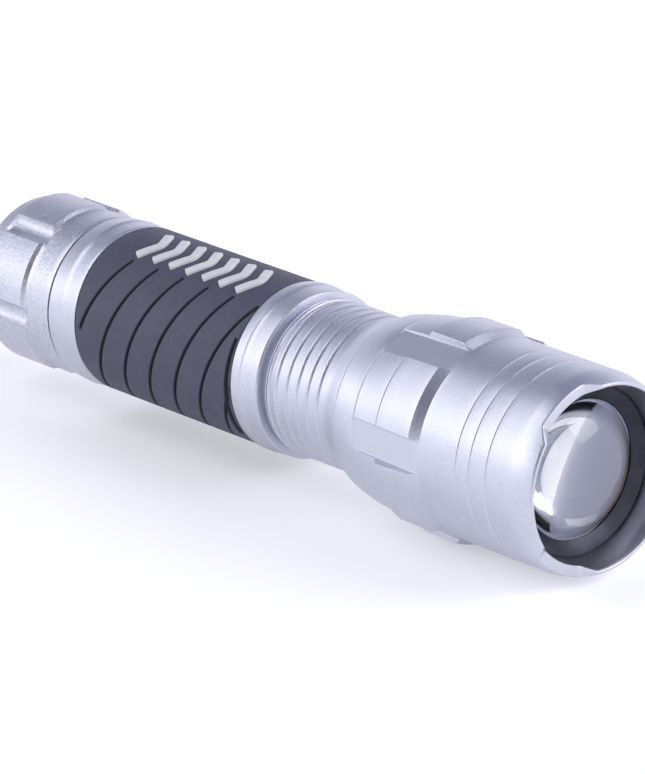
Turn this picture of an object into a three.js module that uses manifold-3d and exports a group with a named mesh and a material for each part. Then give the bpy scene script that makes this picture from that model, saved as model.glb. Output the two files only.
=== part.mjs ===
// Zoom flashlight: a head that slides and turns on the barrel, a screw-on tail cap with a push button,
// and the lamp, battery carrier and switch inside.
//
// Millimetres. The torch lies along X with its head at +X, +Z is up, and the origin is on the table
// under the middle of its length. Angles around the torch are in degrees from straight up, and
// positive angles go towards +Y. Stations are X values with the zoom closed.
import * as THREE from 'three';
import { mergeVertices } from 'three/addons/utils/BufferGeometryUtils.js';
import Module from 'manifold-3d';

const wasm = await Module();
wasm.setup();

// ---- Driving dimensions --------------------------------------------------------------------------

const LENGTH = 140;
const TAIL_RIM = -LENGTH / 2;
const BEZEL_RIM = LENGTH / 2;
const SEGMENTS = 36;                 // facets round every large turned piece
const FINE_SEGMENTS = 16;            // facets round small pieces
const FIT = 0.15;                    // radial gap between pieces that sit in each other
const SEAT = 0.2;                    // axial gap between pieces that sit face to face

// Head
const HEAD_R = 16.7;                 // main cylinder
const PAD_R = 17.75;                 // over the pads
const PADS = 6;
const FIRST_HEAD_CHANNEL = -27.5;
const CHANNEL_HALF_FLOOR = 2.3;      // the flat floor between two pads rises towards the front
const CHANNEL_HALF_TOP = 3.3;
const CHANNEL_FLOOR_REAR = 16.05;
const CHANNEL_FLOOR_FRONT = 16.74;
const SKIRT_REAR = 5.4;
const SKIRT_BORE = 12.25;
const RIB_PITCH = 2.2;
const RIB_COUNT = 5;
const RIB_R = 13.25;
const RIB_ROOT_R = 12.85;
const FIRST_RIB = 6.6;
const FLARE_START = 16.2;
const FLARE_START_R = 13.3;
const FLARE_STEP = 23.2;             // a thin line where the flare steps out
const FLARE_STEP_R = 14.95;
const FLARE_END_R = 16.15;
const PAD_REAR = 29.2;               // a groove runs round just behind the pads
const PAD_REAR_GROOVE_R = 15.95;
const PAD_REAR_R = 16.45;
const PAD_STEP = 35.1;
const PAD_FRONT = 43.5;
const PAD_FOOT = 45.1;
const LOW_PAD_R = 16.85;             // the pads' rear part
const LINE_GROOVES = [53.6, 56.6, 60.4];
const TAPER_START = 65.3;
const RIM_OUTER_R = 15.6;
const RIM_INNER_R = 15.1;
const STOP_SHOULDER = 32;            // meets the lamp pill's flange when the zoom is open
const CAVITY_R = 13.3;
const LENS_SEAT = 60.6;
const LENS_SEAT_R = 14;
const BEZEL_CONE = 4.6;              // the bezel's bore widens over this length
const NOTCHES = 3;
const FIRST_NOTCH = -29;
const NOTCH_DEPTH = 1.8;
const NOTCH_MOUTH = 13.9;
const NOTCH_FLOOR = 9.4;

// Lens
const LENS_R = 13.75;
const LENS_REAR = 62;
const LENS_RIM_THICKNESS = 1.7;
const DOME_R = 11.3;
const DOME_HEIGHT = 5.4;

// Barrel
const TUBE_BORE = 11.2;              // battery compartment
const RING_R = 14.3;
const SEAM = -50;
const SEAM_GAP = 1;
const RING_GROOVE = -46;
const GRIP_REAR = -42.8;
const GRIP_FRONT = -2.5;
const GRIP_SEAT_R = 12.9;
const GRIP_R = 14.2;
const COLLAR_R = 14.4;
const COLLAR_GROOVE = 0.6;
const COLLAR_FRONT = 4.5;
const NECK_R = 12;
const NECK_FRONT = 44;
const PILL_BORE = 10.6;
const PILL_SEAT = 22.5;              // where the compartment ends and the pill's bore starts
const MALE_THREAD_R = 12.3;
const MALE_THREAD_END = -56.5;
const O_RING_GROOVE = [28, 30];
const O_RING_GROOVE_R = 11.1;

// Tail cap
const CAP_R = 14.15;
const CAP_PAD_R = 14.68;
const CAP_RIM_R = 13.5;
const CAP_BORE = 12.6;
const CAP_PAD_REAR = -66;
const CAP_PAD_FRONT = -56.4;
const CAP_CHANNEL_ANGLE = 15;
const FIRST_CAP_CHANNEL = -37;
const CAP_CHANNEL_FLOOR = 13.35;
const SWITCH_BORE = 10.5;
const SWITCH_SEAT = -66.1;
const BUTTON_HOLE_R = 6.7;
const END_WALL = -68;
const END_RECESS_R = 9.5;

// Switch
const BOOT_FLANGE_R = 9.8;
const BOOT_R = 6.3;
const BOOT_WALL = 0.9;
const BOOT_TIP = -69.6;
const HOUSING_WIDTH = 12;
const HOUSING_REAR = -64.9;
const HOUSING_FRONT = -60.4;
const PLUNGER_R = 2;
const PLUNGER_TIP = -68.2;
const PLUNGER_COLLAR_R = 3;
const SWITCH_RING_BORE = 8.6;
const SWITCH_BOARD_FRONT = -59.2;

// Power
const CELL_R = 5;
const CELL_LENGTH = 44.5;
const CELL_OFFSET = 5.95;            // cell axis from the torch's axis
const CELL_NUB_R = 1.9;
const CELL_NUB_HEIGHT = 1.1;
const CELLS_REAR = -30.2;
const CARRIER_R = 10.95;
const CARRIER_PLATE = 2.2;
const CARRIER_POST_R = 1.5;
const CARRIER_POST_OFFSET = 9.2;

// Lamp
const PILL_FLANGE_R = 12.9;
const PILL_FLANGE = 2;
const PILL_BOSS_R = 10;
const PILL_FRONT = 54;
const PILL_POCKET_R = 8.6;
const PILL_POCKET_END = 33;
const LEAD_R = 0.6;
const LEAD_OFFSET = 6.4;
const LED_BOARD_R = 8.5;
const LED_BOARD_THICKNESS = 1.5;

const COLOURS = {
  aluminium: { color: 0xc9c9d2, metalness: 1, roughness: 0.35 },
  brass: { color: 0xb59a55, metalness: 1, roughness: 0.4 },
  steel: { color: 0xb4b4b8, metalness: 1, roughness: 0.3 },
  rubber: { color: 0x505060, metalness: 0, roughness: 0.8 },
  blackRubber: { color: 0x151517, metalness: 0, roughness: 0.7 },
  darkRing: { color: 0x2c2d34, metalness: 0.6, roughness: 0.4 },
  glass: { color: 0xdfe4ee, metalness: 0, roughness: 0.05 },
  board: { color: 0x1f5a35, metalness: 0, roughness: 0.5 },
  whiteBoard: { color: 0xe8e8e4, metalness: 0, roughness: 0.5 },
  phosphor: { color: 0xf0d860, metalness: 0, roughness: 0.4 },
  blackPlastic: { color: 0x1b1b1d, metalness: 0, roughness: 0.5 },
  cellWrap: { color: 0x40464f, metalness: 0.3, roughness: 0.35 },
  redLead: { color: 0xa02020, metalness: 0, roughness: 0.5 },
  blackLead: { color: 0x202020, metalness: 0, roughness: 0.5 },
};

// ---- Geometry helpers ----------------------------------------------------------------------------

const radians = THREE.MathUtils.degToRad;

// A closed geometry becomes a solid: shared corners merged, triangles without area dropped,
// and faces turned outwards.
function solidOf(geometry) {
  const bare = geometry.clone();
  bare.deleteAttribute('normal');
  bare.deleteAttribute('uv');
  const merged = mergeVertices(bare, 1e-4);
  const vertProperties = new Float32Array(merged.attributes.position.array);
  const corner = (i) => new THREE.Vector3().fromArray(vertProperties, 3 * i);
  const triangles = [];
  let volume = 0;
  for (let i = 0; i < merged.index.count; i += 3) {
    const [a, b, c] = [0, 1, 2].map((k) => merged.index.getX(i + k));
    if (a === b || b === c || c === a) continue;
    triangles.push([a, b, c]);
    volume += corner(a).dot(corner(b).cross(corner(c))) / 6;
  }
  const outward = triangles.map(([a, b, c]) => (volume < 0 ? [a, c, b] : [a, b, c]));
  const triVerts = new Uint32Array(outward.flat());
  return new wasm.Manifold(new wasm.Mesh({ numProp: 3, vertProperties, triVerts }));
}

function geometryOf(solid) {
  const mesh = solid.getMesh();
  const geometry = new THREE.BufferGeometry();
  geometry.setAttribute('position', new THREE.BufferAttribute(mesh.vertProperties, 3));
  geometry.setIndex(new THREE.BufferAttribute(mesh.triVerts, 1));
  return geometry;
}

// A body turned about the X axis from an outline of [x, radius] points. The outline either starts
// and ends on the axis or is closed here. A facet, not a corner, points straight down.
function turned(outline, segments = SEGMENTS) {
  const onAxis = outline[0][1] === 0;
  const closed = onAxis ? outline : [...outline, outline[0]];
  const points = closed.map(([x, r]) => new THREE.Vector2(r, x));
  const lathe = new THREE.LatheGeometry(points, segments, Math.PI / segments);
  return solidOf(lathe.rotateZ(-Math.PI / 2));
}

function tube(rear, front, innerR, outerR, segments = SEGMENTS) {
  return turned([[rear, innerR], [rear, outerR], [front, outerR], [front, innerR]], segments);
}

function rod(rear, front, r, segments = FINE_SEGMENTS) {
  return turned([[rear, 0], [rear, r], [front, r], [front, 0]], segments);
}

// A flat outline of [y, z] points carried along X.
function prismAlongX(points, rear, front) {
  const shape = new THREE.Shape(points.map(([y, z]) => new THREE.Vector2(y, z)));
  const prism = new THREE.ExtrudeGeometry(shape, { depth: front - rear, bevelEnabled: false });
  const axes = new THREE.Matrix4().makeBasis(
    new THREE.Vector3(0, 1, 0), new THREE.Vector3(0, 0, 1), new THREE.Vector3(1, 0, 0));
  return solidOf(prism.applyMatrix4(axes).translate(rear, 0, 0));
}

// A flat outline of [y, x] points carried outwards along Z.
function prismAlongZ(points, bottom, top) {
  const shape = new THREE.Shape(points.map(([y, x]) => new THREE.Vector2(-y, x)));
  const prism = new THREE.ExtrudeGeometry(shape, { depth: top - bottom, bevelEnabled: false });
  const axes = new THREE.Matrix4().makeBasis(
    new THREE.Vector3(0, -1, 0), new THREE.Vector3(1, 0, 0), new THREE.Vector3(0, 0, 1));
  return solidOf(prism.applyMatrix4(axes).translate(0, 0, bottom));
}

function box(rear, front, width, height) {
  const [y, z] = [width / 2, height / 2];
  return prismAlongX([[-y, -z], [y, -z], [y, z], [-y, z]], rear, front);
}

// Turns a solid about the torch's axis, from straight up to an angle.
function atAngle(solid, degrees) {
  return solid.rotate([-degrees, 0, 0]);
}

function evenAngles(count, first) {
  return Array.from({ length: count }, (unused, i) => first + (360 / count) * i);
}

// The same solid at even angles around the axis, as one solid.
function ringOf(count, first, solid) {
  const copies = evenAngles(count, first).map((angle) => atAngle(solid, angle));
  return copies.reduce((sum, copy) => sum.add(copy));
}

// A row of outline points on a shallow convex curve that stands "rise" above its chord.
function crowned([x0, r0], [x1, r1], rise, steps = 3) {
  return Array.from({ length: steps + 1 }, (unused, i) => {
    const t = i / steps;
    return [x0 + (x1 - x0) * t, r0 + (r1 - r0) * t + 4 * rise * t * (1 - t)];
  });
}

// Three outline points of a V groove cut in a cylinder.
function vGroove(x, r, halfWidth = 0.25, depth = 0.3) {
  return [[x - halfWidth, r], [x, r - depth], [x + halfWidth, r]];
}

// A round cord of rubber or wire in a ring about the axis.
function torus(x, ringR, sectionR, sides = 6) {
  const outline = evenAngles(sides, 180 / sides).map((angle) => {
    const a = radians(angle);
    return [x + sectionR * Math.cos(a), ringR + sectionR * Math.sin(a)];
  });
  return turned(outline);
}

class Helix extends THREE.Curve {
  constructor(startX, endX, startR, endR, turns) {
    super();
    Object.assign(this, { startX, endX, startR, endR, turns });
  }

  getPoint(t, target = new THREE.Vector3()) {
    const angle = 2 * Math.PI * this.turns * t;
    const r = this.startR + (this.endR - this.startR) * t;
    const x = this.startX + (this.endX - this.startX) * t;
    return target.set(x, r * Math.sin(angle), r * Math.cos(angle));
  }
}

// A round section carried along a curve.
function sweep(curve, sectionR, steps, sides = 5) {
  const corners = evenAngles(sides, 0).map((angle) => {
    const a = radians(angle);
    return new THREE.Vector2(sectionR * Math.cos(a), sectionR * Math.sin(a));
  });
  const options = { steps, extrudePath: curve, bevelEnabled: false };
  return solidOf(new THREE.ExtrudeGeometry(new THREE.Shape(corners), options));
}

function coilSpring(startX, endX, startR, endR, turns, wireR) {
  const stepsPerTurn = 9;
  return sweep(new Helix(startX, endX, startR, endR, turns), wireR, turns * stepsPerTurn);
}

// ---- Head ----------------------------------------------------------------------------------------

// The skirt's ribs, each with sloping flanks and a flat crest.
function ribOutline() {
  const flank = 0.25;
  const halfCrest = 0.5;
  return Array.from({ length: RIB_COUNT }, (unused, i) => FIRST_RIB + RIB_PITCH * i).flatMap((x) => [
    [x - halfCrest - flank, RIB_ROOT_R], [x - halfCrest, RIB_R],
    [x + halfCrest, RIB_R], [x + halfCrest + flank, RIB_ROOT_R],
  ]);
}

// Flats rather than corners lie at the pads' radius, so that the torch rests on one.
function headOutline() {
  const padR = PAD_R / Math.cos(Math.PI / SEGMENTS);
  return [
    [SKIRT_REAR, SKIRT_BORE], [SKIRT_REAR, RIB_ROOT_R],
    ...ribOutline(),
    ...crowned([FLARE_START, FLARE_START_R], [FLARE_STEP, FLARE_STEP_R], 0.12),
    ...crowned([FLARE_STEP + 0.3, FLARE_STEP_R + 0.2], [PAD_REAR - 0.9, FLARE_END_R], 0.1),
    [PAD_REAR, PAD_REAR_GROOVE_R],
    ...crowned([PAD_REAR + 0.6, PAD_REAR_R], [PAD_STEP, LOW_PAD_R], 0.05),
    [PAD_STEP + PAD_R - LOW_PAD_R, padR], [PAD_FRONT, padR], [PAD_FOOT, HEAD_R],
    ...LINE_GROOVES.flatMap((x) => vGroove(x, HEAD_R)),
    [TAPER_START, HEAD_R], [BEZEL_RIM, RIM_OUTER_R], [BEZEL_RIM, RIM_INNER_R],
    [BEZEL_RIM - BEZEL_CONE, LENS_SEAT_R], [LENS_SEAT, LENS_SEAT_R], [LENS_SEAT, CAVITY_R],
    [STOP_SHOULDER, CAVITY_R], [STOP_SHOULDER, SKIRT_BORE],
  ];
}

// The channel between two pads, with sloping walls and a flat floor that rises to the front.
function headChannel() {
  const length = PAD_FOOT - PAD_REAR;
  const rise = CHANNEL_FLOOR_FRONT - CHANNEL_FLOOR_REAR;
  const wall = PAD_R - CHANNEL_FLOOR_REAR;
  const widening = (CHANNEL_HALF_TOP - CHANNEL_HALF_FLOOR) / (PAD_R - CHANNEL_FLOOR_FRONT);
  const height = wall + 1;
  const halfTop = CHANNEL_HALF_FLOOR + height * widening;
  const section = [
    [-CHANNEL_HALF_FLOOR, 0], [CHANNEL_HALF_FLOOR, 0], [halfTop, height], [-halfTop, height],
  ];
  return prismAlongX(section, 0, Math.hypot(length, rise) + 0.5)
    .rotate([0, -THREE.MathUtils.radToDeg(Math.atan2(rise, length)), 0])
    .translate([PAD_REAR, 0, CHANNEL_FLOOR_REAR]);
}

function bezelNotch() {
  const past = 1;
  const slope = (NOTCH_MOUTH - NOTCH_FLOOR) / 2 / NOTCH_DEPTH;
  const half = NOTCH_MOUTH / 2 + past * slope;
  const outline = [
    [-NOTCH_FLOOR / 2, BEZEL_RIM - NOTCH_DEPTH], [NOTCH_FLOOR / 2, BEZEL_RIM - NOTCH_DEPTH],
    [half, BEZEL_RIM + past], [-half, BEZEL_RIM + past],
  ];
  return prismAlongZ(outline, 8, PAD_R + 1);
}

function headShell() {
  return turned(headOutline())
    .subtract(ringOf(PADS, FIRST_HEAD_CHANNEL, headChannel()))
    .subtract(ringOf(NOTCHES, FIRST_NOTCH, bezelNotch()));
}

// Flat behind and domed in front, with a rim that the retaining ring clamps.
function lens() {
  const front = LENS_REAR + LENS_RIM_THICKNESS;
  const sphereR = (DOME_R ** 2 + DOME_HEIGHT ** 2) / (2 * DOME_HEIGHT);
  const rings = 5;
  const edge = Math.asin(DOME_R / sphereR);
  const dome = Array.from({ length: rings + 1 }, (unused, i) => {
    const a = edge * (1 - i / rings);
    const r = i === rings ? 0 : sphereR * Math.sin(a);
    return [front + DOME_HEIGHT - sphereR * (1 - Math.cos(a)), r];
  });
  return turned([[LENS_REAR, 0], [LENS_REAR, LENS_R], [front, LENS_R], ...dome]);
}

function lensGasket() {
  const sectionR = 0.5;
  return torus(LENS_REAR - SEAT - sectionR, LENS_SEAT_R - FIT - sectionR, sectionR);
}

// A threaded ring with two slots for a pin spanner.
function lensRetainingRing() {
  const rear = LENS_REAR + LENS_RIM_THICKNESS + SEAT;
  const front = rear + 1.4;
  const ring = turned([
    [rear, DOME_R + FIT], [rear, LENS_SEAT_R - FIT], [front, LENS_SEAT_R - FIT],
    [front, DOME_R + 0.8], [front - 0.5, DOME_R + FIT],
  ]);
  const slot = prismAlongZ([[-0.8, front - 0.6], [0.8, front - 0.6], [0.8, front + 1], [-0.8, front + 1]],
    DOME_R - 1, LENS_SEAT_R - 1);
  return ring.subtract(ringOf(2, 60, slot));
}

// ---- Barrel --------------------------------------------------------------------------------------

function barrelTube() {
  const ringRear = SEAM + SEAM_GAP / 2;
  return turned([
    [MALE_THREAD_END, TUBE_BORE], [MALE_THREAD_END, MALE_THREAD_R - 0.6],
    [MALE_THREAD_END + 0.6, MALE_THREAD_R], [ringRear - 0.7, MALE_THREAD_R],
    [ringRear, MALE_THREAD_R], [ringRear, RING_R - 0.3], [ringRear + 0.3, RING_R],
    ...vGroove(RING_GROOVE, RING_R),
    [GRIP_REAR, RING_R], [GRIP_REAR, GRIP_SEAT_R], [GRIP_FRONT, GRIP_SEAT_R], [GRIP_FRONT, COLLAR_R],
    ...vGroove(COLLAR_GROOVE, COLLAR_R),
    [COLLAR_FRONT - 0.3, COLLAR_R], [COLLAR_FRONT, COLLAR_R - 0.3], [COLLAR_FRONT, RIB_R],
    [COLLAR_FRONT + 0.5, RIB_R], [COLLAR_FRONT + 0.5, NECK_R],
    [O_RING_GROOVE[0], NECK_R], [O_RING_GROOVE[0], O_RING_GROOVE_R],
    [O_RING_GROOVE[1], O_RING_GROOVE_R], [O_RING_GROOVE[1], NECK_R],
    [NECK_FRONT, NECK_R], [NECK_FRONT, PILL_BORE], [PILL_SEAT, PILL_BORE], [PILL_SEAT, TUBE_BORE],
  ]);
}

function gripSleeve() {
  const inner = GRIP_SEAT_R + FIT;
  return turned([
    [GRIP_REAR + SEAT, inner], [GRIP_REAR + SEAT, GRIP_R - 0.4], [GRIP_REAR + 0.6, GRIP_R],
    [GRIP_FRONT - 0.6, GRIP_R], [GRIP_FRONT - SEAT, GRIP_R - 0.4], [GRIP_FRONT - SEAT, inner],
  ]);
}

// Fills its groove and stops just short of the head's bore.
function neckORing() {
  const inner = O_RING_GROOVE_R + FIT;
  const outer = SKIRT_BORE - 0.15;
  const sectionR = (outer - inner) / 2;
  const middle = (O_RING_GROOVE[0] + O_RING_GROOVE[1]) / 2;
  return torus(middle, inner + sectionR, sectionR);
}

// Squeezed between the cap and the barrel's ring, so taller than it is wide.
function tailORing() {
  const half = SEAM_GAP / 2 - 0.15;
  const [inner, outer] = [MALE_THREAD_R + FIT, CAP_R - 0.1];
  return turned([
    [SEAM - half, inner + 0.3], [SEAM - half, outer - 0.3], [SEAM - half + 0.2, outer],
    [SEAM + half - 0.2, outer], [SEAM + half, outer - 0.3], [SEAM + half, inner + 0.3],
    [SEAM + half - 0.2, inner], [SEAM - half + 0.2, inner],
  ]);
}

// ---- Lamp ----------------------------------------------------------------------------------------

function ledPill() {
  const flangeRear = NECK_FRONT + SEAT;
  const threadR = PILL_BORE - FIT;
  const rear = PILL_SEAT + 0.5;
  const body = turned([
    [PILL_POCKET_END, 0], [PILL_POCKET_END, PILL_POCKET_R], [rear, PILL_POCKET_R], [rear, threadR],
    [flangeRear, threadR], [flangeRear, PILL_FLANGE_R],
    [flangeRear + PILL_FLANGE, PILL_FLANGE_R], [flangeRear + PILL_FLANGE, PILL_BOSS_R],
    [PILL_FRONT, PILL_BOSS_R], [PILL_FRONT, 0],
  ]);
  const hole = rod(PILL_POCKET_END - 1, PILL_FRONT + 1, LEAD_R + 0.5).translate([0, 0, LEAD_OFFSET]);
  return body.subtract(ringOf(2, 90, hole));
}

// A round metal-core board with a notch on each side for a lead.
function ledBoard() {
  const rear = PILL_FRONT + SEAT;
  const notch = box(rear - 1, rear + LED_BOARD_THICKNESS + 1, 2.4, 6)
    .translate([0, 0, LEAD_OFFSET - 1.2 + 3]);
  return rod(rear, rear + LED_BOARD_THICKNESS, LED_BOARD_R, SEGMENTS).subtract(ringOf(2, 90, notch));
}

// A square base with a domed top.
function ledEmitter() {
  const rear = PILL_FRONT + SEAT + LED_BOARD_THICKNESS + SEAT;
  const base = box(rear, rear + 0.8, 5, 5);
  const domeR = 2.3;
  const dome = evenAngles(20, 0).slice(0, 6).map((angle) => {
    const a = radians(angle);
    return [rear + 0.7 + domeR * Math.sin(a), angle === 90 ? 0 : domeR * Math.cos(a)];
  });
  return base.add(turned([[rear + 0.2, 0], [rear + 0.2, domeR], ...dome], FINE_SEGMENTS));
}

// A lead runs forward through the pill and bends over onto the LED board.
function ledLead(angle) {
  const boardFront = PILL_FRONT + SEAT + LED_BOARD_THICKNESS;
  const height = boardFront + SEAT + LEAD_R;
  const route = new THREE.CatmullRomCurve3([
    new THREE.Vector3(27.5, 0, LEAD_OFFSET), new THREE.Vector3(PILL_POCKET_END, 0, LEAD_OFFSET),
    new THREE.Vector3(PILL_FRONT - 2, 0, LEAD_OFFSET), new THREE.Vector3(height - 0.6, 0, LEAD_OFFSET),
    new THREE.Vector3(height, 0, LEAD_OFFSET - 0.8), new THREE.Vector3(height, 0, LEAD_OFFSET - 2.2),
  ], false, 'centripetal');
  return atAngle(sweep(route, LEAD_R, 18), angle);
}

function driverBoard() {
  const rear = PILL_SEAT + 1;
  return rod(rear, rear + 1.2, PILL_POCKET_R - FIT, SEGMENTS)
    .add(box(rear + 1.1, rear + 3, 5, 4).translate([0, 0, -1]));
}

function driverSpring() {
  const wireR = 0.4;
  return coilSpring(CELLS_REAR + CELL_LENGTH + 0.6 + CARRIER_PLATE + 1.6 + wireR,
    PILL_SEAT + 1 - SEAT - wireR, 1.6, 4, 3, wireR);
}

// ---- Battery carrier -----------------------------------------------------------------------------

const CARRIER_REAR_FACE = CELLS_REAR - 0.8;
const CARRIER_FRONT_FACE = CELLS_REAR + CELL_LENGTH + 0.8;

// Two end plates joined by three posts that stand between the cells.
function carrierFrame() {
  const rearPlate = rod(CARRIER_REAR_FACE - CARRIER_PLATE, CARRIER_REAR_FACE, CARRIER_R, SEGMENTS);
  const frontPlate = rod(CARRIER_FRONT_FACE, CARRIER_FRONT_FACE + CARRIER_PLATE, CARRIER_R, SEGMENTS);
  const post = rod(CARRIER_REAR_FACE - 1, CARRIER_FRONT_FACE + 1, CARRIER_POST_R)
    .translate([0, 0, CARRIER_POST_OFFSET]);
  return rearPlate.add(frontPlate).add(ringOf(3, 60, post));
}

function cell() {
  const front = CELLS_REAR + CELL_LENGTH;
  const shoulder = front - CELL_NUB_HEIGHT;
  return turned([
    [CELLS_REAR, 0], [CELLS_REAR, CELL_R - 0.4], [CELLS_REAR + 0.4, CELL_R],
    [shoulder - 0.4, CELL_R], [shoulder, CELL_R - 0.4],
    [shoulder, CELL_NUB_R], [front, CELL_NUB_R], [front, 0],
  ], 20).translate([0, 0, CELL_OFFSET]);
}

// The middle cell lies the other way round, as cells in series do.
function placedCell(index) {
  const middle = 2 * CELLS_REAR + CELL_LENGTH;
  const upright = index === 1 ? cell().mirror([1, 0, 0]).translate([middle, 0, 0]) : cell();
  return atAngle(upright, 120 * index);
}

function carrierFrontContact() {
  const rear = CARRIER_FRONT_FACE + CARRIER_PLATE + SEAT;
  return turned([[rear, 0], [rear, 4], [rear + 0.6, 4], [rear + 0.6, 2.2], [rear + 1, 1.8], [rear + 1, 0]],
    FINE_SEGMENTS);
}

function carrierRearContact() {
  const front = CARRIER_REAR_FACE - CARRIER_PLATE - SEAT;
  return rod(front - 0.5, front, 6, 24);
}

// A strip that joins the ends of two neighbouring cells.
function linkStrip(rear, angle) {
  const half = CELL_OFFSET * Math.sin(radians(60)) + 2;
  const strip = box(rear, rear + 0.3, 2 * half, 4).translate([0, 0, CELL_OFFSET / 2]);
  return atAngle(strip, angle);
}

// ---- Tail cap and switch -------------------------------------------------------------------------

function capChannel() {
  const half = CAP_PAD_R * Math.sin(radians(CAP_CHANNEL_ANGLE / 2));
  const section = [
    [-half, CAP_CHANNEL_FLOOR], [half, CAP_CHANNEL_FLOOR], [half, CAP_PAD_R + 1], [-half, CAP_PAD_R + 1],
  ];
  return prismAlongX(section, CAP_PAD_REAR + 0.7, CAP_PAD_FRONT + 1.2);
}

function tailCap() {
  const front = SEAM - SEAM_GAP / 2;
  return turned([
    [TAIL_RIM, END_RECESS_R + 0.5], [TAIL_RIM, CAP_RIM_R - 0.8], [TAIL_RIM + 0.8, CAP_RIM_R],
    [CAP_PAD_REAR - 0.8, CAP_RIM_R + 0.2], [CAP_PAD_REAR, CAP_PAD_R], [CAP_PAD_FRONT, CAP_PAD_R],
    [CAP_PAD_FRONT + 0.6, CAP_R], [front - 0.3, CAP_R], [front, CAP_R - 0.3],
    [front, CAP_BORE], [MALE_THREAD_END - 0.4, CAP_BORE], [MALE_THREAD_END - 0.4, SWITCH_BORE],
    [SWITCH_SEAT, SWITCH_BORE], [SWITCH_SEAT, BUTTON_HOLE_R], [END_WALL, BUTTON_HOLE_R],
    [END_WALL, END_RECESS_R], [TAIL_RIM + 0.5, END_RECESS_R],
  ]).subtract(ringOf(PADS, FIRST_CAP_CHANNEL, capChannel()));
}

function switchRetainingRing() {
  const front = MALE_THREAD_END - 0.6;
  const rear = SWITCH_BOARD_FRONT + SEAT;
  const slot = box(front - 1, front + 1, 2, 8).translate([0, 0, SWITCH_BORE]);
  return tube(rear, front, SWITCH_RING_BORE, SWITCH_BORE - FIT).subtract(ringOf(2, 0, slot));
}

function switchBoard() {
  return rod(HOUSING_FRONT + SEAT, SWITCH_BOARD_FRONT, SWITCH_BORE - FIT, SEGMENTS);
}

// A square case, open towards the board, with a round hole for the plunger.
function switchHousing() {
  const wall = 1;
  const pocket = box(HOUSING_REAR + wall, HOUSING_FRONT + 1, HOUSING_WIDTH - 3, HOUSING_WIDTH - 3);
  const hole = rod(HOUSING_REAR - 1, HOUSING_REAR + 2, PLUNGER_R + 0.3);
  return box(HOUSING_REAR, HOUSING_FRONT, HOUSING_WIDTH, HOUSING_WIDTH).subtract(pocket).subtract(hole);
}

// A stem with a collar that the return spring pushes against.
function switchPlunger() {
  const collarRear = HOUSING_REAR + 1.2;
  return turned([
    [PLUNGER_TIP, 0], [PLUNGER_TIP, PLUNGER_R - 0.3], [PLUNGER_TIP + 0.3, PLUNGER_R],
    [collarRear, PLUNGER_R], [collarRear, PLUNGER_COLLAR_R], [collarRear + 0.8, PLUNGER_COLLAR_R],
    [collarRear + 0.8, 1], [collarRear + 1.2, 1], [collarRear + 1.2, 0],
  ], FINE_SEGMENTS);
}

function switchSpring() {
  const wireR = 0.2;
  return coilSpring(HOUSING_REAR + 2 + SEAT + wireR, HOUSING_FRONT - wireR, 1.7, 1.7, 3, wireR);
}

// Clamped by its flange inside the cap, with a domed button that stands in the cap's hole.
function rubberBoot() {
  const flangeFront = HOUSING_REAR - SEAT;
  const flangeRear = SWITCH_SEAT + SEAT;
  const dome = crowned([BOOT_TIP + 0.9, BOOT_R - 0.6], [BOOT_TIP, 0], 0.25, 4);
  return turned([
    [BOOT_TIP + BOOT_WALL, 0], [BOOT_TIP + BOOT_WALL + 0.4, 3.6],
    [BOOT_TIP + BOOT_WALL + 1, BOOT_R - BOOT_WALL], [flangeFront, BOOT_R - BOOT_WALL],
    [flangeFront, BOOT_FLANGE_R], [flangeRear, BOOT_FLANGE_R], [flangeRear, BOOT_R],
    [BOOT_TIP + 1.5, BOOT_R], ...dome,
  ]);
}

function tailSpring() {
  const wireR = 0.55;
  const carrierEnd = CARRIER_REAR_FACE - CARRIER_PLATE - SEAT - 0.5;
  return coilSpring(SWITCH_BOARD_FRONT + SEAT + wireR, carrierEnd - SEAT - wireR, 7.4, 4, 7, wireR);
}

// ---- Assembly ------------------------------------------------------------------------------------

const torch = new THREE.Group();
torch.position.z = PAD_R;

function place(name, solid, material) {
  const mesh = new THREE.Mesh(geometryOf(solid), new THREE.MeshStandardMaterial(COLOURS[material]));
  mesh.name = name;
  torch.add(mesh);
}

place('barrel_tube', barrelTube(), 'aluminium');
place('rubber_grip', gripSleeve(), 'rubber');
place('neck_o_ring', neckORing(), 'blackRubber');
place('tail_o_ring', tailORing(), 'blackRubber');

place('head_shell', headShell(), 'aluminium');
place('lens', lens(), 'glass');
place('lens_gasket', lensGasket(), 'blackRubber');
place('lens_retaining_ring', lensRetainingRing(), 'darkRing');

place('led_pill', ledPill(), 'brass');
place('led_board', ledBoard(), 'whiteBoard');
place('led_emitter', ledEmitter(), 'phosphor');
place('led_lead_positive', ledLead(90), 'redLead');
place('led_lead_negative', ledLead(-90), 'blackLead');
place('driver_board', driverBoard(), 'board');
place('driver_spring', driverSpring(), 'steel');

place('carrier_frame', carrierFrame(), 'blackPlastic');
place('carrier_front_contact', carrierFrontContact(), 'steel');
place('carrier_rear_contact', carrierRearContact(), 'steel');
place('carrier_front_link', linkStrip(CARRIER_FRONT_FACE - 0.5, 60), 'steel');
place('carrier_rear_link', linkStrip(CARRIER_REAR_FACE + 0.2, -60), 'steel');
for (const index of [0, 1, 2]) {
  place(`cell_${index + 1}`, placedCell(index), 'cellWrap');
}

place('tail_cap', tailCap(), 'aluminium');
place('switch_retaining_ring', switchRetainingRing(), 'brass');
place('switch_board', switchBoard(), 'board');
place('switch_housing', switchHousing(), 'blackPlastic');
place('switch_plunger', switchPlunger(), 'blackPlastic');
place('switch_spring', switchSpring(), 'steel');
place('rubber_boot', rubberBoot(), 'blackRubber');
place('tail_spring', tailSpring(), 'steel');

export default torch;
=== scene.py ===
"""Looks of the zoom flashlight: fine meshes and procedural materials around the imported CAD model.

Sizes are in millimetres, as in the CAD source, and become metres when a mesh is made. The torch lies
along X with its head at +X. Angles round the torch are in degrees from straight up, positive towards +Y.
"""

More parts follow.
